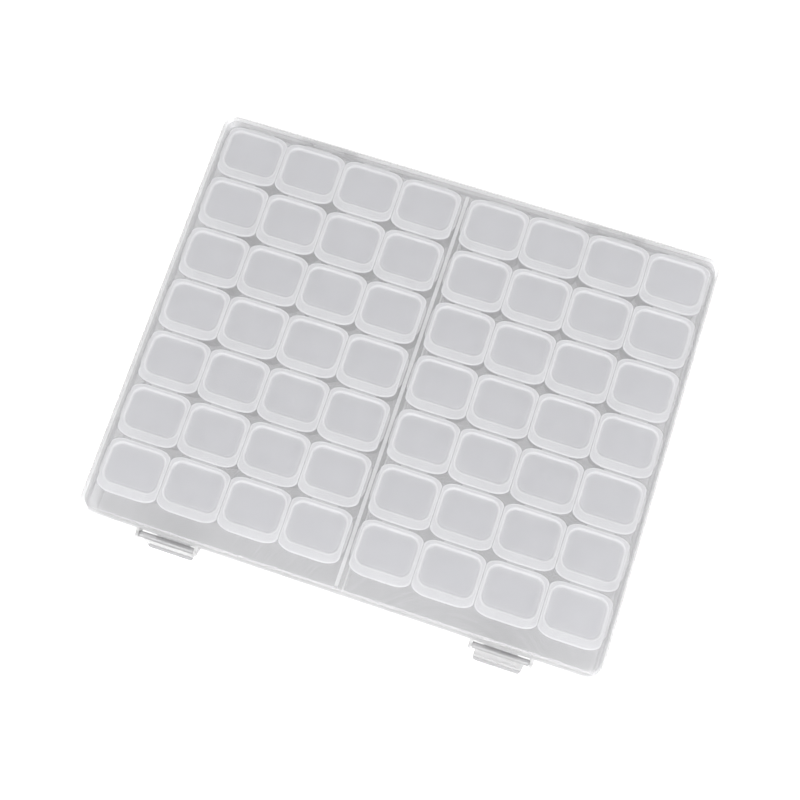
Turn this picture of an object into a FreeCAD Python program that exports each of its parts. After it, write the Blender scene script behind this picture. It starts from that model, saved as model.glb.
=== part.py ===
"""Compartment jewelry box: a hinged plastic case with two latches, holding fourteen lift-out strips
of four cups, each cup under its own flip lid.

Millimetres. +X runs along the long side, +Y to the hinge at the back, +Z up. The origin is the
middle of the case's underside. The case is shut, and its two latches are eased off their catches.
"""
import FreeCAD, Part
import os
import re

import Sketcher

Vector = FreeCAD.Vector

# Driving lengths, in millimetres
LENGTHS = {
    # Case
    "case_width": 212,  # outside, along X
    "case_depth": 173.5,  # outside, along Y
    "case_height": 27,  # outside, shut
    "case_corner": 6,  # radius of the upright corners
    "case_wall": 1.6,  # side walls of base and lid
    "floor_thickness": 1.5,  # floor of the base
    "top_thickness": 1.6,  # top plate of the lid
    "lid_height": 11,  # outside, from the base's rim to the top
    "seam_gap": 0.2,  # between the rims of base and lid
    "top_round": 2.5,  # rounding along the lid's top edge
    "top_inner_round": 1.2,  # rounding inside the lid's top edge
    "bottom_round": 1.2,  # rounding along the base's bottom edge
    "root_overlap": 0.6,  # depth to which ribs, ears and catches run into their wall
    # Divider rib of the base
    "divider_thickness": 1.5,  # along X
    "divider_drop": 0.4,  # its top below the cups' rims
    "divider_setback": 1.2,  # gap from its ends to the lid's walls
    # Case hinge
    "hinge_inset": 44,  # middle of each hinge from the side of the case
    "hinge_standoff": 1.8,  # axis behind the back wall
    "knuckle_radius": 1.5,  # outside of ears and knuckles
    "knuckle_length": 14,  # lid's knuckle along X
    "ear_length": 5,  # each ear of the base along X
    "knuckle_gap": 0.2,  # between knuckle and ear
    "gusset_height": 5,  # foot of an ear or knuckle on its wall
    "hinge_pin_radius": 0.75,  # stub pins on the lid's knuckle
    "hinge_pin_reach": 4,  # stub pin into the ear
    "hinge_pin_clearance": 0.05,  # radial
    # Latches
    "latch_inset": 38.3,  # middle of each latch from the side of the case
    "latch_axis_drop": 4,  # pivot below the top
    "latch_standoff": 1.75,  # pivot in front of the front wall
    "latch_barrel_radius": 1.3,  # barrel round the pivot
    "latch_width": 19.5,  # tongue along X
    "latch_corner": 2.5,  # radius of the tongue's lower corners
    "latch_thickness": 1.2,  # tongue
    "latch_face_gap": 1.45,  # front wall to the tongue's inner face
    "latch_length": 13.5,  # pivot to the tongue's lower end
    "hook_height": 1.2,  # ledge on the tongue's inner face
    "hook_gap": 0.45,  # front wall to the ledge's edge
    "lip_height": 1.6,  # finger lip along the lower end
    "lip_reach": 0.7,  # finger lip beyond the tongue's outer face
    "latch_ear_spacing": 24.1,  # between the middles of a latch's two ears
    "latch_ear_thickness": 1.3,  # along X
    "latch_ear_radius": 1.6,  # ear round the pivot
    "latch_ear_foot": 3.6,  # foot of an ear below the pivot
    "latch_pin_radius": 0.75,  # stub pins on the barrel
    "latch_pin_clearance": 0.06,  # radial
    "latch_end_gap": 0.15,  # between barrel and ear
    "catch_width": 14,  # catch on the base along X
    "catch_reach": 1.1,  # catch in front of the front wall
    "catch_height": 1.8,  # catch on the wall
    "catch_gap": 0.4,  # hook below the catch when shut
    # Cup strips
    "finger_gap": 8.4,  # front wall to the first strip's thumb lips
    "cup_row_gap": 3.1,  # between the rims of two rows of cups
    "headroom": 3.2,  # flip lids to the lid's top plate
    "cup_overlap": 0.8,  # each cup's outline into its neighbour's side
    "cup_corner": 6.6,  # outside corner radius at the rim
    "cup_side_wall": 0.7,  # half of the wall that two cups share
    "cup_front_wall": 1.2,  # front and back walls
    "cup_inner_corner": 5.2,  # inside corner radius at the rim
    "cup_floor": 1.2,  # bottom of a cup
    "cup_foot": 2,  # height of the sloped foot, outside and inside
    "strip_side_gap": 0.33,  # strip to divider
    "strip_end_gap": 0.52,  # strip to the side wall
    "strip_back_gap": 0.6,  # last strip to the back wall
    # Flip lids
    "flip_thickness": 1.2,  # lid plate
    "flip_gap": 0.1,  # cup rim to lid plate
    "flip_side_gap": 0.3,  # lid edge to the middle of the shared wall
    "flip_back_flat": 12.4,  # straight part of the back edge
    "flip_back_notch": 2.7,  # depth of the rounded back corners
    "flip_front_flat": 10,  # straight part of the thumb lip
    "flip_front_notch": 3.7,  # depth of the rounded front corners
    "flip_row_gap": 0.4,  # thumb lip to the strip in front
    "panel_side_rim": 1.25,  # raised rim at the sides
    "panel_front_rim": 3.3,  # raised rim with the thumb lip
    "panel_back_rim": 1.4,  # raised rim before the hinge axis
    "panel_corner": 4,  # corner radius of the sunk panel
    "panel_sink": 0.5,  # depth of the sunk panel
    "plug_gap": 0.3,  # plug ring to the cup's walls
    "plug_wall": 0.8,  # thickness of the plug ring
    "plug_height": 1,  # plug ring below the plate
    "flip_axis_inset": 0.4,  # hinge axis in from the cup's back
    "flip_hinge_length": 11,  # bead and trough along X
    "flip_bead_clearance": 0.1,  # radial
    "trough_wall": 0.5,  # trough behind the bead
    "trough_drop": 0.2,  # top of the trough below the axis
}

# Driving angles, in degrees
ANGLES = {
    "latch_left_angle": 7,  # off shut
    "latch_right_angle": 14,  # off shut
    "cup_draft_angle": 1.5,  # walls lean in towards the bottom
    "cup_foot_angle": 45,  # foot from upright
    "panel_wall_angle": 40,  # walls of the sunk panel from upright
}

# Parts of a length
SHARES = {
    "catch_edge_share": 0.33,  # upright part of the catch's face, of its height
    "hook_low_share": 0.25,  # underside of the ledge above the lower end, of the lip's height
    "hook_mid_share": 0.5,  # ledge's upper corner above the lower end, of the lip's height
}

# How many there are of each
COUNTS = {
    "cups_per_strip": 4,
    "strips_per_block": 7,
}

# Lengths that follow from the driving ones
DERIVED = {
    "seam_height": "case_height - lid_height",
    "hinge_x": "case_width / 2 - hinge_inset",
    "latch_x": "case_width / 2 - latch_inset",
    "latch_axis_height": "case_height - latch_axis_drop",
    "block_width": "case_width / 2 - case_wall - strip_end_gap - strip_side_gap - divider_thickness / 2",
    "cup_pitch": "( block_width - 2 * cup_overlap ) / cups_per_strip",
    "block_depth": "case_depth - 2 * case_wall - finger_gap - strip_back_gap",
    "row_pitch": "( block_depth + flip_row_gap ) / strips_per_block",
    "cup_depth": "row_pitch - cup_row_gap",
    "cup_height": "case_height - top_thickness - headroom - flip_thickness - flip_gap - floor_thickness",
    "divider_height": "floor_thickness + cup_height - divider_drop",
}

SIZES = {**LENGTHS, **ANGLES, **SHARES, **COUNTS}


def make_sheet(doc):
    """The spreadsheet of driving dimensions, one row each, with the alias as its name."""
    sheet = doc.addObject("Spreadsheet::Sheet", "Sizes")
    formulas = {alias: f"= {formula}" for alias, formula in DERIVED.items()}
    for row, (alias, value) in enumerate({**SIZES, **formulas}.items(), 1):
        sheet.set(f"A{row}", alias)
        sheet.set(f"B{row}", str(value))
        sheet.setAlias(f"B{row}", alias)
    doc.recompute()
    return sheet


def bound(expression):
    """An expression in the sheet's aliases, with the sheet's name put before each of them."""
    def named(word):
        known = word.group() in SIZES or word.group() in DERIVED
        return f"Sizes.{word.group()}" if known else word.group()
    return re.sub("[a-z][a-z_]+", named, expression)


doc = FreeCAD.newDocument("compartment_jewelry_box")
sheet = make_sheet(doc)


def number(expression):
    """The present value of an expression in the sheet's aliases."""
    value = sheet.evalExpression(bound(expression))
    return float(getattr(value, "Value", value))


def count(alias):
    return int(round(number(alias)))


# Sketches, features and bodies

def new_body(label):
    body = doc.addObject("PartDesign::Body", label)
    body.Label = label
    return body


def new_sketch(body, name, role, offset="0"):
    """A sketch on one of the body's own origin planes, moved along the plane's normal by an expression."""
    plane = next(p for p in body.Origin.OriginFeatures if p.Role == role)
    sketch = body.newObject("Sketcher::SketchObject", name)
    sketch.AttachmentSupport = [(plane, "")]
    sketch.MapMode = "FlatFace"
    sketch.setExpression("AttachmentOffset.Base.z", bound(offset))
    return sketch


def pin_point(sketch, geometry, end, x, y):
    """Dimension one end of an element from the sketch's origin."""
    for kind, place in (("DistanceX", x), ("DistanceY", y)):
        index = sketch.addConstraint(
            Sketcher.Constraint(kind, -1, 1, geometry, end, number(place)))
        sketch.setExpression(f"Constraints[{index}]", bound(place))


def outline(sketch, corners, arcs=None, hollows=None):
    """A closed outline through corners, pairs of expressions. arcs and hollows give, by the number of
    the corner that it leaves from, the radius of each stretch that bulges out of the outline or into it."""
    arcs, hollows = arcs or {}, hollows or {}
    places = [Vector(number(x), number(y), 0) for x, y in corners]
    last = len(corners)
    turn = sum(a.x * b.y - b.x * a.y for a, b in zip(places, places[1:] + places[:1]))
    if turn < 0:
        corners, places = corners[::-1], places[::-1]
        arcs, hollows = (
            {(last - 1 - (leaving + 1)) % last: radius for leaving, radius in bends.items()}
            for bends in (arcs, hollows))
    first = sketch.GeometryCount
    for here in range(last):
        start, end = places[here], places[(here + 1) % last]
        if here in arcs:
            sketch.addGeometry(arc_between(start, end, number(arcs[here])))
        elif here in hollows:
            sketch.addGeometry(arc_between(end, start, number(hollows[here])))
        else:
            sketch.addGeometry(Part.LineSegment(start, end))
    for here in range(last):
        after = (here + 1) % last
        start_end, end_end = (2, 1) if here in hollows else (1, 2)
        next_start = 2 if after in hollows else 1
        sketch.addConstraint(
            Sketcher.Constraint("Coincident", first + here, end_end, first + after, next_start))
        pin_point(sketch, first + here, start_end, *corners[here])
        radius = arcs.get(here) or hollows.get(here)
        if radius:
            index = sketch.addConstraint(Sketcher.Constraint("Radius", first + here, number(radius)))
            sketch.setExpression(f"Constraints[{index}]", bound(radius))


def arc_between(start, end, radius):
    """The arc of less than half a circle that turns left from start to end."""
    chord = end - start
    inward = Vector(-chord.y, chord.x, 0).normalize()
    rise = max(radius ** 2 - chord.Length ** 2 / 4, 0) ** 0.5
    whole = Part.Circle((start + end) / 2 + inward * rise, Vector(0, 0, 1), radius)
    return Part.ArcOfCircle(whole, whole.parameter(start), whole.parameter(end))


def rounded_rectangle(sketch, half_width, front, back, radius):
    """A rectangle with rounded corners, even about the sketch's upright axis, from front to back."""
    side, inner = f"( {half_width} )", f"( {half_width} - ( {radius} ) )"
    low, high = f"( {front} + ( {radius} ) )", f"( {back} - ( {radius} ) )"
    corners = [
        (f"-{inner}", front), (inner, front), (side, low), (side, high),
        (inner, back), (f"-{inner}", back), (f"-{side}", high), (f"-{side}", low),
    ]
    outline(sketch, corners, {leaving: radius for leaving in (1, 3, 5, 7)})


def circle(sketch, x, y, radius):
    """A circle by its middle and radius."""
    middle = Vector(number(x), number(y), 0)
    index = sketch.addGeometry(Part.Circle(middle, Vector(0, 0, 1), number(radius)))
    pin_point(sketch, index, 3, x, y)
    constraint = sketch.addConstraint(Sketcher.Constraint("Radius", index, number(radius)))
    sketch.setExpression(f"Constraints[{constraint}]", bound(radius))


def extrude(body, kind, sketch, length, symmetric=False, reverse=False, draft=None):
    """A Pad or a Pocket of a sketch, which has to change the body's volume."""
    before = body.Shape.Volume if body.Tip else 0
    feature = body.newObject(f"PartDesign::{kind}", f"{sketch.Name}_{kind.lower()}")
    feature.Profile = sketch
    feature.Reversed = reverse
    if symmetric:
        feature.SideType = "Symmetric"
    feature.setExpression("Length", bound(length))
    if draft:
        feature.setExpression("TaperAngle", bound(draft))
    sketch.Visibility = False
    doc.recompute()
    grown = body.Shape.Volume - before
    if (grown > 0) != (kind == "Pad"):
        raise RuntimeError(f"{feature.Name} changes the volume of {body.Label} by {grown}")
    return feature


def pad(body, sketch, length, **options):
    return extrude(body, "Pad", sketch, length, **options)


def pocket(body, sketch, length, **options):
    return extrude(body, "Pocket", sketch, length, **options)


def fillet(body, radius, chosen):
    """Round the edges of the body's last feature for which chosen(edge) is true."""
    tip = body.Tip
    names = [f"Edge{n}" for n, edge in enumerate(tip.Shape.Edges, 1) if chosen(edge)]
    feature = body.newObject("PartDesign::Fillet", f"{body.Label}_round")
    feature.Base = (tip, names)
    feature.setExpression("Radius", bound(radius))
    doc.recompute()
    return feature


def same(here, there):
    """Whether two places are one place to the modeller."""
    return abs(here - there) < Part.Precision.approximation()


def level_edges(height):
    """A choice of the edges that lie level at a height."""
    level = number(height)
    return lambda edge: all(same(end.Z, level) for end in edge.Vertexes)


def repeat_along_x(body, features, length, occurrences):
    """A row of copies of the features along X, the whole row as long as length."""
    pattern = body.newObject("PartDesign::LinearPattern", f"{features[0].Name}_row")
    pattern.Originals = features
    axis = next(a for a in body.Origin.OriginFeatures if a.Role == "X_Axis")
    pattern.Direction = (axis, [""])
    pattern.setExpression("Length", bound(length))
    pattern.setExpression("Occurrences", bound(occurrences))
    body.Tip = pattern
    doc.recompute()
    return pattern


# Places that several pieces share

HALF_WIDTH = "case_width / 2"
HALF_DEPTH = "case_depth / 2"
INNER_HALF_WIDTH = "case_width / 2 - case_wall"
INNER_HALF_DEPTH = "case_depth / 2 - case_wall"
INNER_CORNER = "( case_corner - case_wall )"
LID_RIM = "seam_height + seam_gap"
HINGE_Y = "( case_depth / 2 + hinge_standoff )"
HINGE_Z = "seam_height"
EAR_OFFSET = "( knuckle_length / 2 + knuckle_gap + ear_length / 2 )"
FRONT_Y = "-case_depth / 2"
LATCH_Y = "( -case_depth / 2 - latch_standoff )"
LATCH_Z = "latch_axis_height"
HOOK_TOP = "hook_mid_share * lip_height + hook_height / 2"
FLIP_AXIS_Y = "( cup_depth / 2 - flip_axis_inset )"
FLIP_AXIS_Z = "( cup_height + flip_gap + flip_thickness / 2 )"
TROUGH_RADIUS = "( flip_thickness / 2 + flip_bead_clearance )"
STRIP_BACK = f"( {FLIP_AXIS_Y} + {TROUGH_RADIUS} + trough_wall )"
FLIP_FRONT = f"( {STRIP_BACK} - row_pitch + flip_row_gap )"
CUP_HALF_WIDTH = "( cup_pitch / 2 - cup_side_wall )"
CUP_INNER_HALF_DEPTH = "( cup_depth / 2 - cup_front_wall )"


def case_outline(body, name, height):
    sketch = new_sketch(body, name, "XY_Plane", height)
    rounded_rectangle(sketch, HALF_WIDTH, f"-{HALF_DEPTH}", HALF_DEPTH, "case_corner")
    return sketch


def case_hollow(body, name, height):
    sketch = new_sketch(body, name, "XY_Plane", height)
    rounded_rectangle(
        sketch, INNER_HALF_WIDTH, f"-( {INNER_HALF_DEPTH} )", INNER_HALF_DEPTH, INNER_CORNER)
    return sketch


def hinge_profile(sketch, foot, level):
    """Side view of an ear or knuckle: a round end on the hinge axis, a flat at the rim's level, and a
    gusset that reaches the wall at the height foot."""
    root = f"( {HALF_DEPTH} - root_overlap )"
    down = number(foot) < number(HINGE_Z)
    inner, outer = ("-", "+") if down else ("+", "-")
    corners = [
        (root, foot),
        (HINGE_Y, f"{HINGE_Z} {inner} knuckle_radius"),
        (f"{HINGE_Y} + knuckle_radius", HINGE_Z),
        (HINGE_Y, f"{HINGE_Z} {outer} knuckle_radius"),
        (f"{HINGE_Y} - ( knuckle_radius ^ 2 - ( {level} - {HINGE_Z} ) ^ 2 ) ^ 0.5", level),
        (root, level),
    ]
    outline(sketch, corners, {leaving: "knuckle_radius" for leaving in (1, 2, 3)})


# Case base: an open tray with a divider rib, two catches in front and two pairs of hinge ears behind

def make_base():
    base = new_body("case_base")
    pad(base, case_outline(base, "base_outline", "0"), "seam_height")
    fillet(base, "bottom_round", level_edges("0"))
    pocket(base, case_hollow(base, "base_hollow", "seam_height"), "seam_height - floor_thickness")

    divider = new_sketch(base, "divider", "YZ_Plane")
    end, upper_end = f"( {INNER_HALF_DEPTH} + root_overlap )", f"( {INNER_HALF_DEPTH} - divider_setback )"
    bottom = "floor_thickness - root_overlap"
    outline(divider, [
        (f"-{end}", bottom), (end, bottom), (end, "seam_height"), (upper_end, "seam_height"),
        (upper_end, "divider_height"), (f"-{upper_end}", "divider_height"),
        (f"-{upper_end}", "seam_height"), (f"-{end}", "seam_height"),
    ])
    pad(base, divider, "divider_thickness", symmetric=True)

    catch_low = f"( {LATCH_Z} - latch_length + {HOOK_TOP} + catch_gap )"
    for side, sign in (("left", "-"), ("right", "")):
        catch = new_sketch(base, f"catch_{side}", "YZ_Plane", f"{sign} latch_x")
        inside = f"{FRONT_Y} + root_overlap"
        outline(catch, [
            (inside, catch_low), (f"{FRONT_Y} - catch_reach", catch_low),
            (f"{FRONT_Y} - catch_reach", f"{catch_low} + catch_edge_share * catch_height"),
            (FRONT_Y, f"{catch_low} + catch_height"), (inside, f"{catch_low} + catch_height"),
        ])
        pad(base, catch, "catch_width", symmetric=True)
        for end, offset in (("outer", "+"), ("inner", "-")):
            place = f"{sign} hinge_x {offset} {EAR_OFFSET}"
            ear = new_sketch(base, f"hinge_ear_{side}_{end}", "YZ_Plane", place)
            hinge_profile(ear, f"{HINGE_Z} - gusset_height", HINGE_Z)
            circle(ear, HINGE_Y, HINGE_Z, "hinge_pin_radius + hinge_pin_clearance")
            pad(base, ear, "ear_length", symmetric=True)
    return base


# Case lid: a shallow cover with a rounded top edge, ears for the latches and knuckles with stub pins

def make_lid():
    lid = new_body("case_lid")
    pad(lid, case_outline(lid, "lid_outline", LID_RIM), f"case_height - ( {LID_RIM} )")
    fillet(lid, "top_round", level_edges("case_height"))
    pocket(lid, case_hollow(lid, "lid_hollow", LID_RIM),
           f"case_height - top_thickness - ( {LID_RIM} )", reverse=True)
    fillet(lid, "top_inner_round", level_edges("case_height - top_thickness"))

    for side, sign in (("left", "-"), ("right", "")):
        for end, offset in (("outer", "+"), ("inner", "-")):
            place = f"{sign} latch_x {offset} latch_ear_spacing / 2"
            ear = new_sketch(lid, f"latch_ear_{side}_{end}", "YZ_Plane", place)
            latch_ear_profile(ear)
            circle(ear, LATCH_Y, LATCH_Z, "latch_pin_radius + latch_pin_clearance")
            pad(lid, ear, "latch_ear_thickness", symmetric=True)

        knuckle = new_sketch(lid, f"knuckle_{side}", "YZ_Plane", f"{sign} hinge_x")
        hinge_profile(knuckle, f"{LID_RIM} + gusset_height", LID_RIM)
        pad(lid, knuckle, "knuckle_length", symmetric=True)
        pin = new_sketch(lid, f"hinge_pin_{side}", "YZ_Plane", f"{sign} hinge_x")
        circle(pin, HINGE_Y, HINGE_Z, "hinge_pin_radius")
        pad(lid, pin, "knuckle_length + 2 * ( knuckle_gap + hinge_pin_reach )", symmetric=True)
    return lid


def latch_ear_profile(sketch):
    """Side view of a latch's ear: round on the pivot, footed on the front wall below it, and running
    back over the lid's rounded edge to the flat of the top."""
    inside = f"{FRONT_Y} + root_overlap"
    outline(sketch, [
        (inside, f"{LATCH_Z} - latch_ear_foot"),
        (FRONT_Y, f"{LATCH_Z} - latch_ear_foot"),
        (LATCH_Y, f"{LATCH_Z} - latch_ear_radius"),
        (f"{LATCH_Y} - latch_ear_radius", LATCH_Z),
        (LATCH_Y, f"{LATCH_Z} + latch_ear_radius"),
        (f"{FRONT_Y} + top_round", "case_height"),
        (f"{FRONT_Y} + top_round", "case_height - top_thickness / 2"),
        (inside, f"{LATCH_Z}"),
    ], {leaving: "latch_ear_radius" for leaving in (2, 3)})


# Latch: a tongue with a finger lip and a hook, hung from a barrel; its origin is the pivot

def make_latch():
    latch = new_body("latch")
    inner = "( latch_standoff - latch_face_gap )"
    outer = f"( {inner} - latch_thickness )"
    low = "-latch_length"
    tongue = new_sketch(latch, "tongue", "YZ_Plane")
    outline(tongue, [
        (inner, "0"), (inner, f"{low} + {HOOK_TOP}"),
        ("latch_standoff - hook_gap", f"{low} + hook_mid_share * lip_height"),
        ("latch_standoff - hook_gap", f"{low} + hook_low_share * lip_height"), (inner, low),
        (f"{outer} - lip_reach", low), (f"{outer} - lip_reach", f"{low} + hook_mid_share * lip_height"),
        (outer, f"{low} + lip_height"), (outer, "0"),
    ])
    pad(latch, tongue, "latch_width", symmetric=True)
    side = number("latch_width / 2")
    bottom = number(low)

    def lower_corner(edge):
        return all(same(abs(end.X), side) and same(end.Z, bottom) for end in edge.Vertexes) and (
            same(edge.Vertexes[0].X, edge.Vertexes[-1].X))

    fillet(latch, "latch_corner", lower_corner)

    barrel = new_sketch(latch, "barrel", "YZ_Plane")
    circle(barrel, "0", "0", "latch_barrel_radius")
    between_ears = "latch_ear_spacing - latch_ear_thickness"
    pad(latch, barrel, f"{between_ears} - 2 * latch_end_gap", symmetric=True)
    pin = new_sketch(latch, "latch_pin", "YZ_Plane")
    circle(pin, "0", "0", "latch_pin_radius")
    pad(latch, pin, f"{between_ears} + 2 * latch_ear_thickness", symmetric=True)
    return latch


# Cup strip: four cups moulded side by side; its origin is at the bottom, in the middle of the strip

def make_strip():
    strip = new_body("cup_strip")
    first_cup = "-( cups_per_strip - 1 ) / 2 * cup_pitch"
    row = "( cups_per_strip - 1 ) * cup_pitch"

    def cup_sketch(name, height, outer):
        """A cup's outline or its hollow's at a height, on the first cup; both lean in below the rim."""
        sketch = new_sketch(strip, name, "XY_Plane", height)
        half_width, half_depth, corner = outer
        lean = f"( cup_height - ( {height} ) ) * tan( cup_draft_angle * 1 deg )"
        across, along = f"( {half_width} - {lean} )", f"( {half_depth} - {lean} )"
        rounded_rectangle(sketch, across, f"-{along}", along, f"( {corner} - {lean} )")
        sketch.setExpression("AttachmentOffset.Base.x", bound(first_cup))
        return sketch

    outside = ("( cup_pitch / 2 + cup_overlap )", "cup_depth / 2", "cup_corner")
    inside = (CUP_HALF_WIDTH, CUP_INNER_HALF_DEPTH, "cup_inner_corner")
    wall = pad(strip, cup_sketch("cup_outline", "cup_height", outside), "cup_height - cup_foot",
               reverse=True, draft="-cup_draft_angle")
    foot = pad(strip, cup_sketch("cup_foot_outline", "cup_foot", outside), "cup_foot",
               reverse=True, draft="-cup_foot_angle")
    repeat_along_x(strip, [wall, foot], row, "cups_per_strip")

    bed = "( cup_floor + cup_foot )"
    space = pocket(strip, cup_sketch("cup_hollow", "cup_height", inside), f"cup_height - {bed}",
                   draft="-cup_draft_angle")
    low_space = pocket(strip, cup_sketch("cup_hollow_foot", bed, inside), "cup_foot",
                       draft="-cup_foot_angle")
    repeat_along_x(strip, [space, low_space], row, "cups_per_strip")

    trough = new_sketch(strip, "trough", "YZ_Plane", first_cup)
    trough_profile(trough)
    rail = pad(strip, trough, "flip_hinge_length", symmetric=True)
    repeat_along_x(strip, [rail], row, "cups_per_strip")
    return strip


def trough_profile(sketch):
    """Side view of the trough that holds a flip lid's bead: the rim carried back and up behind the bead,
    with a round bed under it."""
    top = f"( {FLIP_AXIS_Z} - trough_drop )"
    bed = f"( {FLIP_AXIS_Z} - {TROUGH_RADIUS} )"
    root = "( cup_height - cup_front_wall )"
    reach = f"( {TROUGH_RADIUS} ^ 2 - trough_drop ^ 2 ) ^ 0.5"
    outline(sketch, [
        (f"{FLIP_AXIS_Y} - flip_axis_inset", root),
        (FLIP_AXIS_Y, root),
        (STRIP_BACK, f"{bed} - trough_wall"),
        (STRIP_BACK, top),
        (f"{FLIP_AXIS_Y} + {reach}", top),
        (FLIP_AXIS_Y, bed),
        (f"{FLIP_AXIS_Y} - flip_axis_inset", bed),
    ], hollows={4: TROUGH_RADIUS})


# Flip lid: a plate with a sunk panel, a thumb lip in front, a plug ring below and a bead on its hinge
# axis; its origin is at the cup's bottom, in the middle of the cup

def make_flip_lid():
    flip = new_body("flip_lid")
    under = "cup_height + flip_gap"
    top = f"( {under} + flip_thickness )"
    side = "( cup_pitch / 2 - flip_side_gap )"
    back_flat, front_flat = "flip_back_flat / 2", "flip_front_flat / 2"
    back_run, front_run = f"( {side} - {back_flat} )", f"( {side} - {front_flat} )"
    back_arc = f"( {back_run} ^ 2 + flip_back_notch ^ 2 ) / ( 2 * flip_back_notch )"
    front_arc = f"( {front_run} ^ 2 + flip_front_notch ^ 2 ) / ( 2 * flip_front_notch )"

    plate = new_sketch(flip, "plate", "XY_Plane", under)
    back_corner = f"{FLIP_AXIS_Y} - flip_back_notch"
    front_corner = f"{FLIP_FRONT} + flip_front_notch"
    outline(plate, [
        (f"-{front_flat}", FLIP_FRONT), (front_flat, FLIP_FRONT), (side, front_corner), (side, back_corner),
        (back_flat, FLIP_AXIS_Y), (f"-{back_flat}", FLIP_AXIS_Y),
        (f"-{side}", back_corner), (f"-{side}", front_corner),
    ], {1: front_arc, 3: back_arc, 5: back_arc, 7: front_arc})
    pad(flip, plate, "flip_thickness")

    panel = new_sketch(flip, "panel", "XY_Plane", top)
    rounded_rectangle(
        panel, f"( {side} - panel_side_rim )", f"{FLIP_FRONT} + panel_front_rim",
        f"{FLIP_AXIS_Y} - panel_back_rim", "panel_corner")
    pocket(flip, panel, "panel_sink", draft="-panel_wall_angle")

    plug = new_sketch(flip, "plug", "XY_Plane", under)
    for inset in ("plug_gap", "plug_gap + plug_wall"):
        rounded_rectangle(
            plug, f"( {CUP_HALF_WIDTH} - ( {inset} ) )", f"-( {CUP_INNER_HALF_DEPTH} - ( {inset} ) )",
            f"( {CUP_INNER_HALF_DEPTH} - ( {inset} ) )", f"( cup_inner_corner - ( {inset} ) )")
    pad(flip, plug, "plug_height", reverse=True)

    bead = new_sketch(flip, "bead", "YZ_Plane")
    circle(bead, FLIP_AXIS_Y, FLIP_AXIS_Z, "flip_thickness / 2")
    pad(flip, bead, "flip_hinge_length", symmetric=True)
    return flip


# The pieces in place

def place(piece, x="0", y="0", z="0"):
    """Bind a piece's place to expressions in the sheet's aliases."""
    for axis, expression in (("x", x), ("y", y), ("z", z)):
        piece.setExpression(f"Placement.Base.{axis}", bound(expression))


def linked(source, label, **where):
    """A copy of a body or group that follows it, in a place of its own."""
    copy = doc.addObject("App::Link", label)
    copy.Label = label
    copy.LinkedObject = source
    place(copy, **where)
    return copy


def hang_latches(latch):
    """Both latches on their pivots, each tilted off its catch."""
    hung = []
    for side, sign in (("left", "-"), ("right", "")):
        copy = linked(latch, f"latch_{side}")
        tilt = f"latch_{side}_angle"
        copy.Placement.Rotation = FreeCAD.Rotation(Vector(-1, 0, 0), number(tilt))
        place(copy, f"{sign} latch_x", LATCH_Y, LATCH_Z)
        copy.setExpression("Placement.Rotation.Angle", bound(tilt))
        hung.append(copy)
    return hung


def flip_lid_set(flip):
    """The four flip lids of one strip, on one hinge line."""
    lids = []
    for cup in range(count("cups_per_strip")):
        across = f"( {cup} - ( cups_per_strip - 1 ) / 2 ) * cup_pitch"
        lids.append(linked(flip, f"flip_lid_of_cup_{cup + 1}", x=across))
    group = doc.addObject("Part::Compound", "flip_lids")
    group.Links = lids
    return group


def fill_blocks(strip, lids):
    """A strip and its set of flip lids in every row of both blocks, row 1 in front."""
    pieces = []
    across = "( divider_thickness / 2 + strip_side_gap + cup_overlap + cups_per_strip * cup_pitch / 2 )"
    back_row = f"( {INNER_HALF_DEPTH} - strip_back_gap - {STRIP_BACK} )"
    for side, sign in (("left", "-"), ("right", "")):
        for row in range(1, count("strips_per_block") + 1):
            where = {
                "x": f"{sign}{across}",
                "y": f"{back_row} - ( strips_per_block - {row} ) * row_pitch",
                "z": "floor_thickness",
            }
            pieces.append(linked(strip, f"cup_strip_{side}_{row}", **where))
            pieces.append(linked(lids, f"flip_lids_{side}_{row}", **where))
    return pieces


def write_parts(pieces):
    """Check every object and every piece's shape, then write one file for each piece."""
    doc.recompute()
    failed = [o.Name for o in doc.Objects if {"Invalid", "Error"} & set(o.State)]
    shapes = {piece.Label: Part.getShape(piece) for piece in pieces}
    failed += [name for name, shape in shapes.items() if shape.isNull() or not shape.isValid()]
    if failed:
        raise RuntimeError(f"these failed: {failed}")
    os.makedirs("parts", exist_ok=True)
    for name, shape in shapes.items():
        shape.exportStep(f"parts/{name}.step")
        print(name, len(shape.Solids), "solids", round(shape.Volume, 1), "mm3")


strip_master = make_strip()
flip_master = make_flip_lid()
write_parts([
    make_base(),
    make_lid(),
    *hang_latches(make_latch()),
    *fill_blocks(strip_master, flip_lid_set(flip_master)),
])
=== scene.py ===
"""Compartment jewelry box: milky plastic looks, finely rounded flip lids and a white studio, laid out as
an add-on and run as a script. Metres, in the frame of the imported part."""
from math import radians

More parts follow.
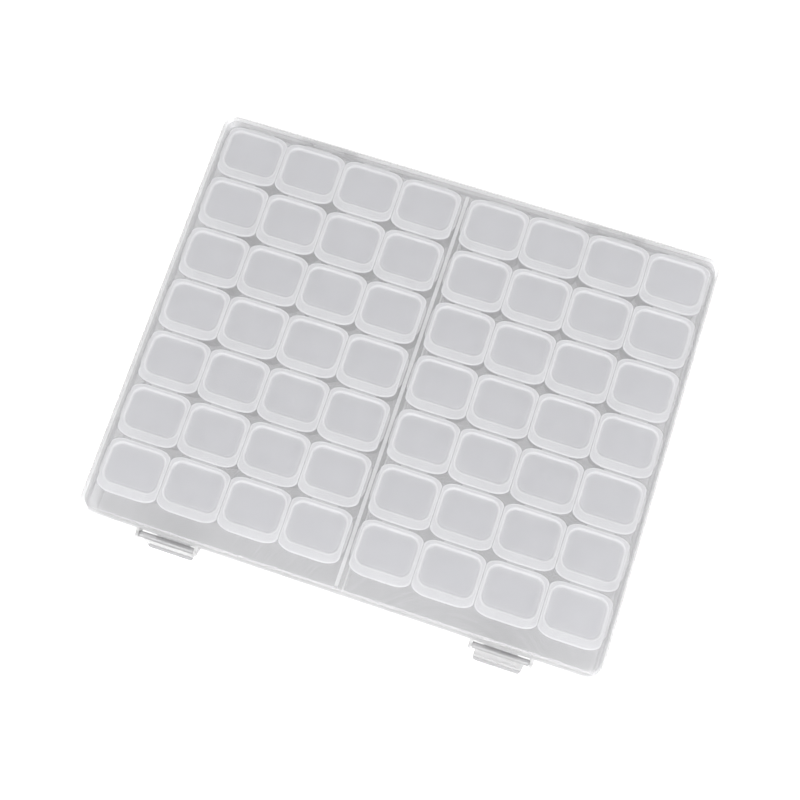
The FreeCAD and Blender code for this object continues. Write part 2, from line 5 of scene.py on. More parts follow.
import bpy
import numpy as np
from bpy.props import FloatProperty, FloatVectorProperty, IntProperty, PointerProperty
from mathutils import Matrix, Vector


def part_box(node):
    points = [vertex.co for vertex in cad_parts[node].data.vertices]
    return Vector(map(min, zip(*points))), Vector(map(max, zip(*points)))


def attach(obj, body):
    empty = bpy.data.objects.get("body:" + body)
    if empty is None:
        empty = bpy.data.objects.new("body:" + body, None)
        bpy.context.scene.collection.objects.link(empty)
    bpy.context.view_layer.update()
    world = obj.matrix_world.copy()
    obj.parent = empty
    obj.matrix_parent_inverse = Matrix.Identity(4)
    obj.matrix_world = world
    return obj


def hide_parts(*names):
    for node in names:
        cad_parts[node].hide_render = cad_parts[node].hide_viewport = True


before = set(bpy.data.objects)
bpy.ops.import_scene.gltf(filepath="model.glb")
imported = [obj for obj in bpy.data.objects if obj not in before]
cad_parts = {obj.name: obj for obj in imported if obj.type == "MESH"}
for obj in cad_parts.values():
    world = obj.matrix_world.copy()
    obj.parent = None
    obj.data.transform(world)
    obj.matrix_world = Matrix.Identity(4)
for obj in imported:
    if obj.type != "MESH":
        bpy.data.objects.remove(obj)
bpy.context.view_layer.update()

bl_info = {
    "name": "Compartment Jewelry Box",
    "version": (1, 0, 0),
    "blender": (4, 5, 0),
    "location": "View3D > Sidebar > Jewelry Box",
    "description": "Finishes the packed jewelry box: moulded flip lids, clear and milky plastics, studio",
    "category": "Object",
}

MM = 0.001
BLOCKS = ("left", "right")
ROWS = range(1, 8)
CUPS_PER_STRIP = 4
QUARTER_TURN = np.pi / 2
SMALLEST_CORNER = 0.05 * MM


# Sizes and colours

class FlipLidSizes(bpy.types.PropertyGroup):
    """Form of one moulded flip lid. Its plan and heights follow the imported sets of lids."""
    pitch: FloatProperty(
        name="Cup Pitch", description="Middle of one cup to the next", default=25.3 * MM, unit="LENGTH")
    axis_inset: FloatProperty(
        name="Axis Inset", description="Rounded back edge to the hinge axis", default=0.6 * MM, unit="LENGTH")
    axis_reach: FloatProperty(
        name="Axis Reach", description="Middle of the cup to the hinge axis", default=9.6 * MM, unit="LENGTH")
    reach: FloatVectorProperty(
        name="Reach", description="How far the moulded edge passes the plain solid at the sides and in front",
        size=2, default=(0.3 * MM, 0.35 * MM), unit="LENGTH")
    thickness: FloatProperty(
        name="Thickness", description="Plate of the lid", default=1.2 * MM, unit="LENGTH")
    front_corner: FloatVectorProperty(
        name="Front Corner", description="Half axes of the round corners beside the thumb lip",
        size=2, default=(7.35 * MM, 3.7 * MM), unit="LENGTH")
    back_corner: FloatVectorProperty(
        name="Back Corner", description="Half axes of the round corners beside the hinge",
        size=2, default=(6.15 * MM, 3.3 * MM), unit="LENGTH")
    panel_rim: FloatVectorProperty(
        name="Panel Rim", description="Raised rim at the sides, in front and behind",
        size=3, default=(1.7 * MM, 4.2 * MM, 2.1 * MM), unit="LENGTH")
    panel_corner: FloatProperty(
        name="Panel Corner", description="Corner radius of the sunk panel", default=4 * MM, unit="LENGTH")
    panel_sink: FloatProperty(
        name="Panel Sink", description="Depth of the sunk panel", default=0.5 * MM, unit="LENGTH")
    panel_slope: FloatProperty(
        name="Panel Slope", description="Width of the step into the panel", default=1.2 * MM, unit="LENGTH")
    step_round: FloatProperty(
        name="Step Round", description="Share of the step that is rounded, above and below", subtype="FACTOR",
        default=0.2, min=0.05, max=0.5)
    # The panel's border keeps a little milk, fading out into the panel over this width: painted soft light
    # along the border, partly milkier plastic.
    panel_fade: FloatProperty(
        name="Panel Fade", description="Width over which the panel clears from its border", default=1.6 * MM,
        unit="LENGTH")
    # Milk at the foot of the step: partly painted soft light along the panel's border.
    border_milk_and_light: FloatProperty(
        name="Border Milk", description="Milk at the foot of the step", subtype="FACTOR",
        default=0.2, min=0, max=1)
    edge_round: FloatProperty(
        name="Edge Round", description="Rounding of the lid's upper edge", default=0.5 * MM, unit="LENGTH")
    # Over this width the milk rises from the rim's share to full milk on the edge's crest: a painted
    # highlight line along the rounded edge, partly the thicker plastic seen across it.
    edge_fade: FloatProperty(
        name="Edge Fade", description="Width over which the milky edges fade", default=0.15 * MM,
        unit="LENGTH")
    rim_milk: FloatProperty(
        name="Rim Milk", description="Milk of the flat rim, from the panel's 0 to the edges' 1",
        subtype="FACTOR", default=0.6, min=0, max=1)
    under_round: FloatProperty(
        name="Under Round", description="Rounding of the lid's lower edges", default=0.2 * MM, unit="LENGTH")
    heel_round: FloatProperty(
        name="Heel Round", description="Rounding below the hinge", default=0.6 * MM, unit="LENGTH")
    plug_depth: FloatProperty(
        name="Plug Depth", description="Plug ring from front to back", default=17.0 * MM, unit="LENGTH")
    plug_width: FloatProperty(
        name="Plug Width", description="Plug ring from side to side", default=23.3 * MM, unit="LENGTH")
    plug_corner: FloatProperty(
        name="Plug Corner", description="Outer corner radius of the plug ring", default=4.9 * MM,
        unit="LENGTH")
    plug_wall: FloatProperty(
        name="Plug Wall", description="Thickness of the plug ring", default=0.8 * MM, unit="LENGTH")
    corner_points: IntProperty(
        name="Corner Points", description="Points along each round corner", default=14, min=3)
    edge_rings: IntProperty(
        name="Edge Rings", description="Rings over each rounded edge", default=5, min=3)


class CaseSizes(bpy.types.PropertyGroup):
    """Where the mouldings of the case and the cups are thick, and so milky. The divider band and the cups'
    rims are made whiter as well, partly painted light in the shaded gaps between parts.
    """
    depth: FloatProperty(
        name="Depth", description="Case from its front wall to its back wall", default=173.5 * MM,
        unit="LENGTH")
    wall: FloatProperty(
        name="Wall", description="Milky border along the walls", default=1.8 * MM, unit="LENGTH")
    base_milk: FloatProperty(
        name="Base Milk", description="Milk of the base's walls, from the floor's 0 to the divider's 1",
        subtype="FACTOR", default=0.45, min=0, max=1)
    # Milky band along the divider, which the base's whiter edge colour turns partly into painted light in the
    # shaded channel between the blocks.
    divider: FloatProperty(
        name="Divider", description="Milky band along the divider rib", default=4.0 * MM, unit="LENGTH")
    cup_rim: FloatProperty(
        name="Cup Rim", description="Rim of the cups above the table", default=20.9 * MM, unit="LENGTH")
    # Over this height a cup's rim turns milky and whiter: partly painted light in the shaded gaps between the
    # flip lids.
    rim_fade: FloatProperty(
        name="Rim Fade", description="Height over which a cup's rim turns milky", default=0.8 * MM,
        unit="LENGTH")


class PlasticLook(bpy.types.PropertyGroup):
    """One moulded plastic: what it scatters, what it lets through and how it shines."""
    colour: FloatVectorProperty(
        name="Colour", description="Light that the plastic scatters", subtype="COLOR",
        size=3, min=0, max=1, default=(0.8, 0.8, 0.8))
    edge_colour: FloatVectorProperty(
        name="Edge Colour", description="The same where the plastic is milky or seen edge on",
        subtype="COLOR", size=3, min=0, max=1, default=(0.95, 0.95, 0.95))
    tint: FloatVectorProperty(
        name="Tint", description="Light that passes the plastic", subtype="COLOR", size=3, min=0, max=1,
        default=(0.98, 0.98, 0.99))
    edge_tint: FloatVectorProperty(
        name="Edge Tint", description="The same where the plastic is milky or seen edge on",
        subtype="COLOR", size=3, min=0, max=1, default=(0.98, 0.98, 0.98))
    haze: FloatProperty(
        name="Haze", description="Share scattered where the plastic is seen face on", subtype="FACTOR",
        default=0.2, min=0, max=1)
    edge_haze: FloatProperty(
        name="Edge Haze", description="The same where the plastic is milky or seen edge on",
        subtype="FACTOR", default=0.8, min=0, max=1)
    edge_on: FloatProperty(
        name="Edge On", description="How milky the plastic turns where it is seen edge on",
        subtype="FACTOR", default=1.0, min=0, max=1)
    edge_bias: FloatProperty(
        name="Edge Bias", description="How early a turned face counts as seen edge on", subtype="FACTOR",
        default=0.35, min=0, max=1)
    through: FloatProperty(
        name="Through", description="Share of the scattered light that goes on to the far side",
        subtype="FACTOR", default=0.35, min=0, max=1)
    mottle: FloatProperty(
        name="Mottle", description="How far the haze varies from place to place", subtype="FACTOR",
        default=0.1, min=0, max=1)
    roughness: FloatProperty(
        name="Roughness", description="Of the surface", subtype="FACTOR", default=0.2, min=0, max=1)
    refraction: FloatProperty(
        name="Refraction", description="Index that sets how strongly the surface mirrors", default=1.49,
        min=1)
    waviness: FloatProperty(
        name="Waviness", description="Height of the slow ripple that moulding leaves", default=0.002 * MM,
        unit="LENGTH")
    ripple: FloatProperty(
        name="Ripple", description="Length of that ripple", default=9 * MM, unit="LENGTH")


class StudioSettings(bpy.types.PropertyGroup):
    """Camera, lamps and floor."""
    camera_place: FloatVectorProperty(
        name="Camera Place", description="Where the camera stands", subtype="TRANSLATION", size=3,
        default=(0.0510, -0.11374, 0.53584))
    camera_turn: FloatVectorProperty(
        name="Camera Turn", description="How the camera is turned", subtype="EULER", size=3,
        default=(radians(12.891), radians(1.586), radians(18.344)))
    lens: FloatProperty(name="Lens", description="Focal length", default=59.9, unit="CAMERA")
    film: FloatProperty(name="Film", description="Width of the camera's frame", default=36.0, unit="CAMERA")
    nearest: FloatProperty(
        name="Nearest", description="Where the camera's sight begins", default=10 * MM, unit="LENGTH")
    floor_colour: FloatVectorProperty(
        name="Floor Colour", description="The pale table", subtype="COLOR", size=3, min=0, max=1,
        default=(0.96, 0.96, 0.96))
    floor_size: FloatProperty(
        name="Floor Size", description="Side of the table", default=6.0, unit="LENGTH")
    glow: FloatProperty(
        name="Glow", description="Share of plain white in the table as it is seen", subtype="FACTOR",
        default=0.05, min=0, max=1)
    sky: FloatProperty(
        name="Sky", description="Strength of the even light all round", default=1.0, min=0)
    overhead: FloatProperty(
        name="Overhead", description="Main lamp, high in front", default=34.5, unit="POWER")
    back: FloatProperty(
        name="Back", description="Lamp behind the hinge", default=5.0, unit="POWER")
    front: FloatProperty(
        name="Front", description="Lamp in front on the right", default=5.0, unit="POWER")
    layers: IntProperty(
        name="Layers", description="Clear surfaces that one line of sight may pass", default=32, min=8)


class JewelryBoxSettings(bpy.types.PropertyGroup):
    """All that a user would change."""
    case: PointerProperty(type=CaseSizes)
    flip_lid: PointerProperty(type=FlipLidSizes)
    lid_plastic: PointerProperty(type=PlasticLook)
    base_plastic: PointerProperty(type=PlasticLook)
    latch_plastic: PointerProperty(type=PlasticLook)
    cup_plastic: PointerProperty(type=PlasticLook)
    flip_plastic: PointerProperty(type=PlasticLook)
    studio: PointerProperty(type=StudioSettings)


# The plastics of the box: a clear lid, a base of the same plastic made greyer as painted shade, latches
# darkened as painted shade, milky cups and bluish flip lids
PLASTICS = {
    # Lid: its darker edge colour and edge tint at the walls, and where it is seen edge on, are painted shade,
    # toning the walls down to grey.
    "lid_plastic": dict(
        colour=(0.8, 0.8, 0.805), edge_colour=(0.62, 0.62, 0.62),
        tint=(0.905, 0.905, 0.91), edge_tint=(0.7, 0.7, 0.7),
        haze=0.13, edge_haze=0.5, edge_on=0.15, through=0.5, roughness=0.18),
    # Base: colour and tint darker than the lid's, painted shade for the shadowed table beneath the base; the
    # whiter edge colour paints light along the divider.
    "base_plastic": dict(
        colour=(0.7, 0.7, 0.705), edge_colour=(0.95, 0.95, 0.95),
        tint=(0.785, 0.785, 0.79), edge_tint=(0.9, 0.9, 0.9),
        haze=0.18, edge_haze=0.8, edge_on=0.15, through=0.5, roughness=0.15),
    # Latches: a darker copy of the clear plastic, painted shade that tones down their lamp-lit front faces.
    "latch_plastic": dict(
        colour=(0.31, 0.31, 0.315), edge_colour=(0.31, 0.31, 0.31),
        tint=(0.8, 0.8, 0.805), edge_tint=(0.8, 0.8, 0.8),
        haze=0.5, edge_haze=0.65, through=0.4, roughness=0.14),
    # Cups: the whiter edge colour at the rims is partly painted light, brightening the shaded gaps between
    # the flip lids.
    "cup_plastic": dict(
        colour=(0.76, 0.76, 0.765), edge_colour=(0.9, 0.9, 0.905),
        tint=(0.95, 0.95, 0.95), edge_tint=(0.97, 0.97, 0.97),
        haze=0.25, edge_haze=0.7, through=0.5, roughness=0.25),
    # Flip lids: the whiter edge colour, where the mesh's milk is high, paints highlight lines on the step and
    # the rounded edges and soft light along the panel's border.
    "flip_plastic": dict(
        colour=(0.635, 0.635, 0.655), edge_colour=(0.82, 0.82, 0.825),
        tint=(0.92, 0.92, 0.93), edge_tint=(0.95, 0.95, 0.95),
        haze=0.6, edge_haze=0.97, through=0.3, roughness=0.14),
}

# Where each lamp stands, its width and its height. All of them face the middle of the box.
LAMPS = {
    "overhead": ((0.15, -0.9, 1.15), 1.3, 1.3),
    "back": ((0.2, 1.1, 0.8), 1.8, 1.0),
    "front": ((0.9, -0.7, 0.5), 1.2, 0.8),
}


def choose_plastics(settings):
    """Set each plastic of the box to its look."""
    for name, look in PLASTICS.items():
        plastic = getattr(settings, name)
        for key, value in look.items():
            setattr(plastic, key, value)


# Surfaces

def corner_ring(half_width, front, back, front_corner, back_corner, count):
    """Plan of a closed ring: four quarter ellipses, joined by straight runs.

    A corner's points are its middle plus (rx cos a, ry sin a), with a over a quarter turn. The ring runs
    anticlockwise from the thumb lip's right end. Returns an array of 4 * count points by 2."""
    quarter = np.linspace(0, QUARTER_TURN, count)
    turns = np.array([-1, 0, 1, 2])[:, None] * QUARTER_TURN + quarter
    rx = np.array([front_corner[0], back_corner[0], back_corner[0], front_corner[0]])[:, None]
    ry = np.array([front_corner[1], back_corner[1], back_corner[1], front_corner[1]])[:, None]
    side = np.array([1, 1, -1, -1])[:, None]
    level = np.array([front + front_corner[1], back - back_corner[1]])[[0, 1, 1, 0]][:, None]
    x = side * (half_width - rx) + rx * np.cos(turns)
    y = level + ry * np.sin(turns)
    return np.stack([x.ravel(), y.ravel()], axis=1)


def inset(plan, amount):
    """The same ring plan, moved inwards by amount: sides, ends and corners shrink alike."""
    half_width, front, back, *corners = plan
    shrunk = np.maximum(np.array(corners) - amount, SMALLEST_CORNER)
    return half_width - amount, front + amount, back - amount, *shrunk


def loft(rings, start):
    """Faces of the surface through rings of equal length, closed round each ring, with a flat face on the
    first and on the last. Ring i, point j is vertex start + i * n + j."""
    count, n = len(rings), len(rings[0])
    i, j = np.meshgrid(np.arange(count - 1), np.arange(n), indexing="ij")
    after = (j + 1) % n
    quads = np.stack([i * n + j, (i + 1) * n + j, (i + 1) * n + after, i * n + after], axis=-1)
    first = np.arange(n)
    last = first[::-1] + (count - 1) * n
    return [(start + first).tolist(), *(start + quads).reshape(-1, 4).tolist(), (start + last).tolist()]


def flip_lid_rings(sizes, half_width, front, back, top, foot):
    """Rings of one flip lid from the middle of its panel, over the rim and the edge, to the plug ring and
    the underside. Returns points (rings by points by 3) and how milky the plastic is at each ring. Full milk
    on the top of the step and on the crest of the rounded edge paints highlight lines there, partly the
    thicker plastic seen across the rounding.

    Step into the panel: a straight slope with both ends rounded over the share w of its width,
    rise = s * s / (2 * w * (1 - w)) at first, (s - w / 2) / (1 - w) between and the mirror image at last,
    with s from 0 to 1 across the step. Edges: quarter circles of the edge's radius. The heel below the hinge
    is a larger quarter circle round the hinge axis, so that it turns clear of the cup."""
    side_rim, front_rim, back_rim = sizes.panel_rim
    plate = (half_width, front, back, tuple(sizes.front_corner), tuple(sizes.back_corner))
    panel = (half_width - side_rim, front + front_rim, back - back_rim,
             (sizes.panel_corner,) * 2, (sizes.panel_corner,) * 2)
    plug = (sizes.plug_width / 2, -sizes.plug_depth / 2, sizes.plug_depth / 2,
            (sizes.plug_corner,) * 2, (sizes.plug_corner,) * 2)
    under = top - sizes.thickness
    rings, milk = [], []

    def add(plan, amount, height, share):
        flat = corner_ring(*inset(plan, amount), sizes.corner_points)
        rings.append(np.column_stack([flat, np.full(len(flat), height)]))
        milk.append(share)

    w = sizes.step_round
    low_end = np.array([0, w / 2, w])
    low_rise = low_end ** 2 / (2 * w * (1 - w))
    steps = np.concatenate([low_end, 1 - low_end[::-1]])
    rises = np.concatenate([low_rise, 1 - low_rise[::-1]])
    # From the clear middle of the panel the milk rises to the border's share at the foot of the step: painted
    # soft light along the panel's border, partly milkier plastic.
    add(panel, sizes.panel_slope / 2 + sizes.panel_fade, top - sizes.panel_sink, 0)
    # The milk climbs to 1 at the top of the step: a painted highlight line along the panel's edge, partly the
    # thicker plastic seen across the step.
    for s, rise in zip(steps, rises):
        add(panel, sizes.panel_slope * (0.5 - s), top - sizes.panel_sink * (1 - rise),
            sizes.border_milk_and_light + (1 - sizes.border_milk_and_light) * rise)
    add(panel, -sizes.panel_slope / 2 - sizes.edge_fade, top, sizes.rim_milk)
    add(plate, sizes.edge_round + sizes.edge_fade, top, sizes.rim_milk)
    # The milk is 1 on the crest of the rounded edge and falls to 0 down its side: a painted highlight line
    # along the lid's edge, partly the thicker plastic seen across the rounding.
    for a in np.linspace(0, QUARTER_TURN, sizes.edge_rings):
        out, down = np.sin(a), 1 - np.cos(a)
        add(plate, sizes.edge_round * (1 - out), top - sizes.edge_round * down, 1 - down)
    for a in np.linspace(0, QUARTER_TURN, sizes.edge_rings):
        high = sizes.heel_round * (1 - np.sin(a))
        low = max(sizes.under_round - high, 0)
        side = sizes.under_round - np.sqrt(sizes.under_round ** 2 - low ** 2)
        heel = sizes.heel_round * (1 - np.cos(a)) - side
        add((half_width, front, back - heel, *plate[3:]), side, under + high, 0)
    for amount, height in (
            (0, under), (0, foot + sizes.under_round), (sizes.under_round, foot),
            (sizes.plug_wall - sizes.under_round, foot),
            (sizes.plug_wall, foot + sizes.under_round)):
        add(plug, amount, height, sizes.rim_milk)
    add(plug, sizes.plug_wall, under, 0)
    return np.array(rings), np.array(milk)


def smooth_piece(name, vertices, faces, milk):
    """A smooth-shaded mesh object at the origin, which keeps how milky it is at each vertex."""
    mesh = bpy.data.meshes.new(name)
    mesh.from_pydata(vertices.tolist(), [], faces)
    mesh.shade_smooth()
    attribute = mesh.attributes.new("milk", "FLOAT", "POINT")
    attribute.data.foreach_set("value", milk.astype(np.float32))
    piece = bpy.data.objects.new(name, mesh)
    bpy.context.scene.collection.objects.link(piece)
    return piece


# Plastics

class Nodes:
    """The emptied node tree of a material or world, with short calls to add and join nodes."""

    def __init__(self, owner, output="ShaderNodeOutputMaterial"):
        owner.use_nodes = True
        self.owner = owner
        self.tree = owner.node_tree
        self.tree.nodes.clear()
        self.output = self.add(output)

    def add(self, kind, **settings):
        node = self.tree.nodes.new(kind)
        for key, value in settings.items():
            if key in node.bl_rna.properties:
                setattr(node, key, value)
            else:
                node.inputs[key].default_value = value
        return node

    def join(self, source, target):
        self.tree.links.new(source, target)

    def absolute(self, source):
        """source without its sign."""
        node = self.add("ShaderNodeMath", operation="ABSOLUTE")
        self.join(source, node.inputs[0])
        return node.outputs["Value"]

    def combine(self, operation, first, second):
        """The clamped result of a sum, product or choice of two outputs."""
        node = self.add("ShaderNodeMath", operation=operation, use_clamp=True)
        self.join(first, node.inputs[0])
        self.join(second, node.inputs[1])
        return node.outputs["Value"]

    def blend(self, source, low, high):
        """The colour from low to high as source goes from 0 to 1."""
        node = self.add("ShaderNodeValToRGB")
        node.color_ramp.elements[0].color = (*low, 1)
        node.color_ramp.elements[1].color = (*high, 1)
        self.join(source, node.inputs["Fac"])
        return node.outputs["Color"]

    def spread(self, source, low, high, start=0, end=1):
        """source, from start to end, spread from low to high."""
        node = self.add("ShaderNodeMapRange")
        node.inputs["From Min"].default_value = start
        node.inputs["From Max"].default_value = end
        node.inputs["To Min"].default_value = low
        node.inputs["To Max"].default_value = high
        self.join(source, node.inputs["Value"])
        return node.outputs["Result"]


def milk_and_highlights_in_mesh(nodes, place):
    """How milky the plastic is, kept at each vertex of the mesh. On the flip lids it also holds painted
    highlight lines along the step and the rounded edge, and painted soft light along the panel's border.
    """
    return nodes.add("ShaderNodeAttribute", attribute_name="milk").outputs["Fac"]


def milk_at_walls(half_width, half_depth, border, share=1, divider=0):
    """How milky a tray or cover is: share at its outside walls, fading to 0 over the border inside them.
    Along a divider of that width, which ends inside the border, it is 1 in the middle half and fades to 0.
    That band is partly the milky rib and partly painted light, brightening the shaded channel between the
    two blocks of cups."""
    def milk(nodes, place):
        apart = nodes.add("ShaderNodeSeparateXYZ")
        nodes.join(place, apart.inputs["Vector"])
        across, along = (nodes.absolute(apart.outputs[axis]) for axis in "XY")
        walls = nodes.combine(
            "MAXIMUM", nodes.spread(across, 0, share, half_width - border, half_width),
            nodes.spread(along, 0, share, half_depth - border, half_depth))
        if not divider:
            return walls
        # The divider band: partly painted light in the shaded channel between the blocks.
        rib = nodes.combine(
            "MINIMUM", nodes.spread(across, 1, 0, divider / 4, divider / 2),
            nodes.spread(along, 1, 0, half_depth - 2 * border, half_depth - border))
        return nodes.combine("MAXIMUM", walls, rib)
    return milk


def milk_and_light_at_rim(height, fade):
    """How milky a cup is: 1 at its rim, fading to 0 below it. The whiter rim is partly painted light, which
    brightens the shaded gaps between the flip lids.
    """
    def milk(nodes, place):
        apart = nodes.add("ShaderNodeSeparateXYZ")
        nodes.join(place, apart.inputs["Vector"])
        return nodes.spread(apart.outputs["Z"], 0, 1, height - fade, height)
    return milk


def moulded_plastic(name, look, milk=None):
    """Hazy moulded plastic: it scatters more, in its edge colour, from face on to edge on and where milk,
    which adds its own nodes, says that it is milky; that edge colour is whiter for most of the plastics and
    darker for the lid. For several pieces the edge colour and the milk also carry painted highlights, painted
    light and painted shade. It is mottled, and a slow ripple breaks up the shine. Only the outside of a face
    shines, so that light which has entered a wall leaves it again."""
    nodes = Nodes(bpy.data.materials.new(name))
    place = nodes.add("ShaderNodeTexCoord").outputs["Object"]
    ripple = nodes.add("ShaderNodeTexNoise", Scale=1 / look.ripple, Detail=1.0)
    nodes.join(place, ripple.inputs["Vector"])
    bump = nodes.add("ShaderNodeBump", Distance=look.waviness)
    nodes.join(ripple.outputs["Fac"], bump.inputs["Height"])

    facing = nodes.add("ShaderNodeLayerWeight", Blend=look.edge_bias).outputs["Facing"]
    depth = nodes.spread(facing, 0, look.edge_on)
    if milk:
        depth = nodes.combine("MAXIMUM", depth, milk(nodes, place))
    tone = nodes.blend(depth, look.colour, look.edge_colour)
    tint = nodes.blend(depth, look.tint, look.edge_tint)

    scatter = nodes.add("ShaderNodeBsdfPrincipled", Roughness=look.roughness)
    scatter.inputs["Specular IOR Level"].default_value = 0
    onward = nodes.add("ShaderNodeBsdfTranslucent")
    cloud = nodes.add("ShaderNodeMixShader", Fac=look.through)
    nodes.join(tone, scatter.inputs["Base Color"])
    nodes.join(tone, onward.inputs["Color"])
    nodes.join(scatter.outputs["BSDF"], cloud.inputs[1])
    nodes.join(onward.outputs["BSDF"], cloud.inputs[2])
    clear = nodes.add("ShaderNodeBsdfTransparent")
    nodes.join(tint, clear.inputs["Color"])

    haze = nodes.combine(
        "MULTIPLY", nodes.spread(depth, look.haze, look.edge_haze),
        nodes.spread(ripple.outputs["Fac"], 1 - look.mottle, 1 + look.mottle))
    body = nodes.add("ShaderNodeMixShader")
    nodes.join(haze, body.inputs["Fac"])
    nodes.join(clear.outputs["BSDF"], body.inputs[1])
    nodes.join(cloud.outputs["Shader"], body.inputs[2])

    shine = nodes.add("ShaderNodeBsdfGlossy", Roughness=look.roughness)
    nodes.join(bump.outputs["Normal"], shine.inputs["Normal"])
    mirror = nodes.add("ShaderNodeFresnel", IOR=look.refraction)
    outside = nodes.spread(nodes.add("ShaderNodeNewGeometry").outputs["Backfacing"], 1, 0)
    surface = nodes.add("ShaderNodeMixShader")
    nodes.join(nodes.combine("MULTIPLY", mirror.outputs["Fac"], outside), surface.inputs["Fac"])
    nodes.join(body.outputs["Shader"], surface.inputs[1])
    nodes.join(shine.outputs["BSDF"], surface.inputs[2])
    nodes.join(surface.outputs["Shader"], nodes.output.inputs["Surface"])
    return nodes.owner


def dress(piece, material):
    piece.data.materials.clear()
    piece.data.materials.append(material)


# Operators

class JEWELRYBOX_OT_case(bpy.types.Operator):
    """Give the case's base and lid their clear plastic: the base's greyer plastic is painted shade and its
    whiter divider band partly painted light; the lid's darker walls are painted shade
    """
    bl_idname = "jewelrybox.case"
    bl_label = "Case"

    def execute(self, context):
        settings = context.scene.jewelry_box
        low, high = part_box("case_lid")
        walls = (high.x - low.x) / 2, settings.case.depth / 2, settings.case.wall
        tray = milk_at_walls(*walls, settings.case.base_milk, settings.case.divider)
        cover = milk_at_walls(*walls)
        dress(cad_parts["case_base"], moulded_plastic("grey_base_plastic", settings.base_plastic, tray))
        dress(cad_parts["case_lid"], moulded_plastic("clear_lid_plastic", settings.lid_plastic, cover))
        return {"FINISHED"}


class JEWELRYBOX_OT_latches(bpy.types.Operator):
    """Give both latches their clear plastic, darkened as painted shade"""
    bl_idname = "jewelrybox.latches"
    bl_label = "Latches"

    def execute(self, context):
        plastic = moulded_plastic("clear_latch_plastic", context.scene.jewelry_box.latch_plastic)
        for side in BLOCKS:
            dress(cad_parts[f"latch_{side}"], plastic)
        return {"FINISHED"}


class JEWELRYBOX_OT_cup_strips(bpy.types.Operator):
    """Give the lift-out strips of cups their milky plastic"""
    bl_idname = "jewelrybox.cup_strips"
    bl_label = "Cup Strips"

    def execute(self, context):
        settings = context.scene.jewelry_box
        rim = milk_and_light_at_rim(settings.case.cup_rim, settings.case.rim_fade)
        plastic = moulded_plastic("milky_cup_plastic", settings.cup_plastic, rim)
        for side in BLOCKS:
            for row in ROWS:
                dress(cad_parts[f"cup_strip_{side}_{row}"], plastic)
        return {"FINISHED"}


class JEWELRYBOX_OT_flip_lids(bpy.types.Operator):
    """Make each strip's four flip lids with soft edges, in place of the plain solids"""
    bl_idname = "jewelrybox.flip_lids"
    bl_label = "Flip Lids"

    def execute(self, context):
        settings = context.scene.jewelry_box
        sizes = settings.flip_lid
        plastic = moulded_plastic("milky_flip_plastic", settings.flip_plastic, milk_and_highlights_in_mesh)
        for side in BLOCKS:
            for row in ROWS:
                self.make_set(sizes, f"flip_lids_{side}_{row}", plastic)
        return {"FINISHED"}

    def make_set(self, sizes, node, plastic):
        low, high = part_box(node)
        across = (CUPS_PER_STRIP - 1) * sizes.pitch
        half_width = (high.x - low.x - across) / 2
        middle = high.y - sizes.axis_inset - sizes.axis_reach
        beside, before = sizes.reach
        rings, milk = flip_lid_rings(
            sizes, half_width + beside, low.y - before - middle, high.y - middle, high.z, low.z)
        points = rings.reshape(-1, 3)
        places = low.x + half_width + np.arange(CUPS_PER_STRIP) * sizes.pitch
        shifts = np.column_stack([places, np.full(CUPS_PER_STRIP, middle), np.zeros(CUPS_PER_STRIP)])
        vertices = (points + shifts[:, None, :]).reshape(-1, 3)
        faces = []
        for lid in range(CUPS_PER_STRIP):
            faces += loft(rings, lid * len(points))
        shares = np.tile(np.repeat(milk, rings.shape[1]), CUPS_PER_STRIP)
        piece = smooth_piece(f"moulded_{node}", vertices, faces, shares)
        dress(piece, plastic)
        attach(piece, node)
        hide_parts(node)


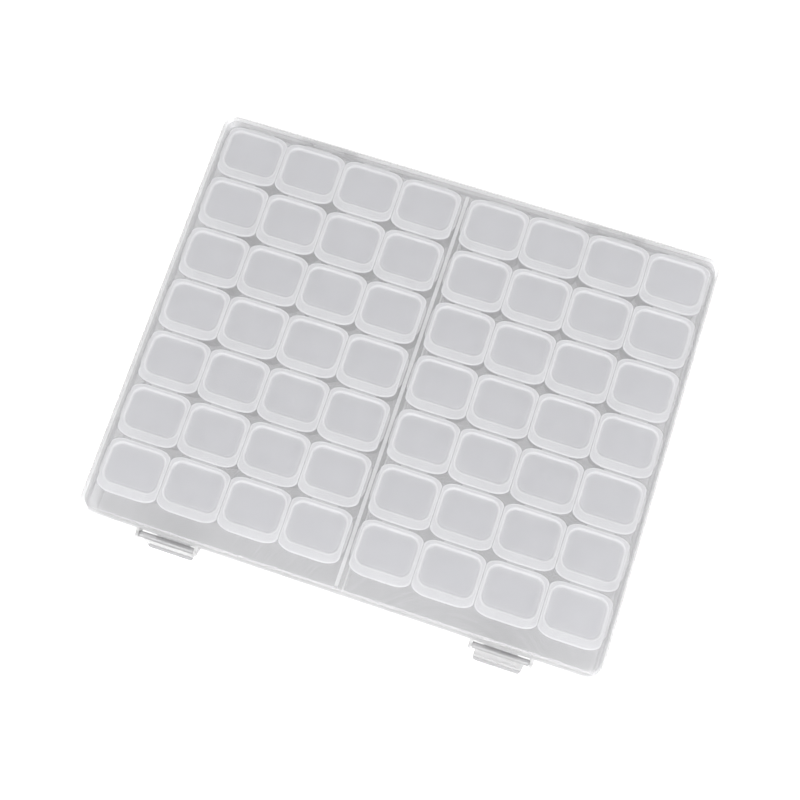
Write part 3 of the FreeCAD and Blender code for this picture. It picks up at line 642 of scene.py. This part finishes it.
class JEWELRYBOX_OT_stage(bpy.types.Operator):
    """Set up the camera, the white table, the even light and the soft lamps"""
    bl_idname = "jewelrybox.stage"
    bl_label = "Stage"

    def execute(self, context):
        studio = context.scene.jewelry_box.studio
        self.camera(context.scene, studio)
        self.floor(context.scene, studio)
        self.world(context.scene, studio)
        for name, (place, width, height) in LAMPS.items():
            self.lamp(context.scene, f"{name}_lamp", getattr(studio, name), Vector(place), width, height)
        context.scene.cycles.transparent_max_bounces = studio.layers
        context.scene.cycles.caustics_reflective = False
        context.scene.view_settings.view_transform = "Standard"
        return {"FINISHED"}

    def camera(self, scene, studio):
        camera = bpy.data.objects.new("photo_camera", bpy.data.cameras.new("photo_camera"))
        camera.location = studio.camera_place
        camera.rotation_euler = studio.camera_turn
        camera.data.lens = studio.lens
        camera.data.sensor_width = studio.film
        camera.data.clip_start = studio.nearest
        scene.collection.objects.link(camera)
        scene.camera = camera

    def floor(self, scene, studio):
        half = studio.floor_size / 2
        mesh = bpy.data.meshes.new("table")
        corners = [(-half, -half, 0), (half, -half, 0), (half, half, 0), (-half, half, 0)]
        mesh.from_pydata(corners, [], [(0, 1, 2, 3)])
        table = bpy.data.objects.new("table", mesh)
        scene.collection.objects.link(table)
        nodes = Nodes(bpy.data.materials.new("white_table"))
        paint = nodes.add("ShaderNodeBsdfDiffuse")
        paint.inputs["Color"].default_value = (*studio.floor_colour, 1)
        glow = nodes.add("ShaderNodeEmission")
        seen = nodes.add("ShaderNodeMixShader")
        nodes.join(nodes.spread(self.seen_rays(nodes), 0.0, studio.glow), seen.inputs["Fac"])
        nodes.join(paint.outputs["BSDF"], seen.inputs[1])
        nodes.join(glow.outputs["Emission"], seen.inputs[2])
        nodes.join(seen.outputs["Shader"], nodes.output.inputs["Surface"])
        dress(table, nodes.owner)

    def seen_rays(self, nodes):
        """1 for rays that show the background, from the camera or mirrored."""
        path = nodes.add("ShaderNodeLightPath")
        return nodes.combine("MAXIMUM", path.outputs["Is Camera Ray"], path.outputs["Is Glossy Ray"])

    def world(self, scene, studio):
        scene.world = bpy.data.worlds.new("studio_sky")
        nodes = Nodes(scene.world, "ShaderNodeOutputWorld")
        background = nodes.add("ShaderNodeBackground")
        background.inputs["Color"].default_value = (1, 1, 1, 1)
        nodes.join(nodes.spread(self.seen_rays(nodes), studio.sky, 1.0), background.inputs["Strength"])
        nodes.join(background.outputs["Background"], nodes.output.inputs["Surface"])

    def lamp(self, scene, name, power, place, width, height):
        light = bpy.data.lights.new(name, "AREA")
        light.shape = "RECTANGLE"
        light.energy = power
        light.size, light.size_y = width, height
        lamp = bpy.data.objects.new(name, light)
        lamp.location = place
        lamp.rotation_euler = (-place).to_track_quat("-Z", "Y").to_euler()
        scene.collection.objects.link(lamp)


class JEWELRYBOX_PT_panel(bpy.types.Panel):
    """The steps that finish the box, in order"""
    bl_idname = "JEWELRYBOX_PT_panel"
    bl_label = "Jewelry Box"
    bl_space_type = "VIEW_3D"
    bl_region_type = "UI"
    bl_category = "Jewelry Box"

    def draw(self, context):
        for step in STEPS:
            self.layout.operator(step.bl_idname)


STEPS = (JEWELRYBOX_OT_case, JEWELRYBOX_OT_latches, JEWELRYBOX_OT_cup_strips, JEWELRYBOX_OT_flip_lids,
         JEWELRYBOX_OT_stage)
CLASSES = (CaseSizes, FlipLidSizes, PlasticLook, StudioSettings, JewelryBoxSettings, *STEPS,
           JEWELRYBOX_PT_panel)


def register():
    for cls in CLASSES:
        bpy.utils.register_class(cls)
    bpy.types.Scene.jewelry_box = PointerProperty(type=JewelryBoxSettings)


def unregister():
    del bpy.types.Scene.jewelry_box
    for cls in reversed(CLASSES):
        bpy.utils.unregister_class(cls)


def main():
    register()
    choose_plastics(bpy.context.scene.jewelry_box)
    bpy.ops.jewelrybox.case()
    bpy.ops.jewelrybox.latches()
    bpy.ops.jewelrybox.cup_strips()
    bpy.ops.jewelrybox.flip_lids()
    bpy.ops.jewelrybox.stage()


if __name__ == "__main__":
    main()
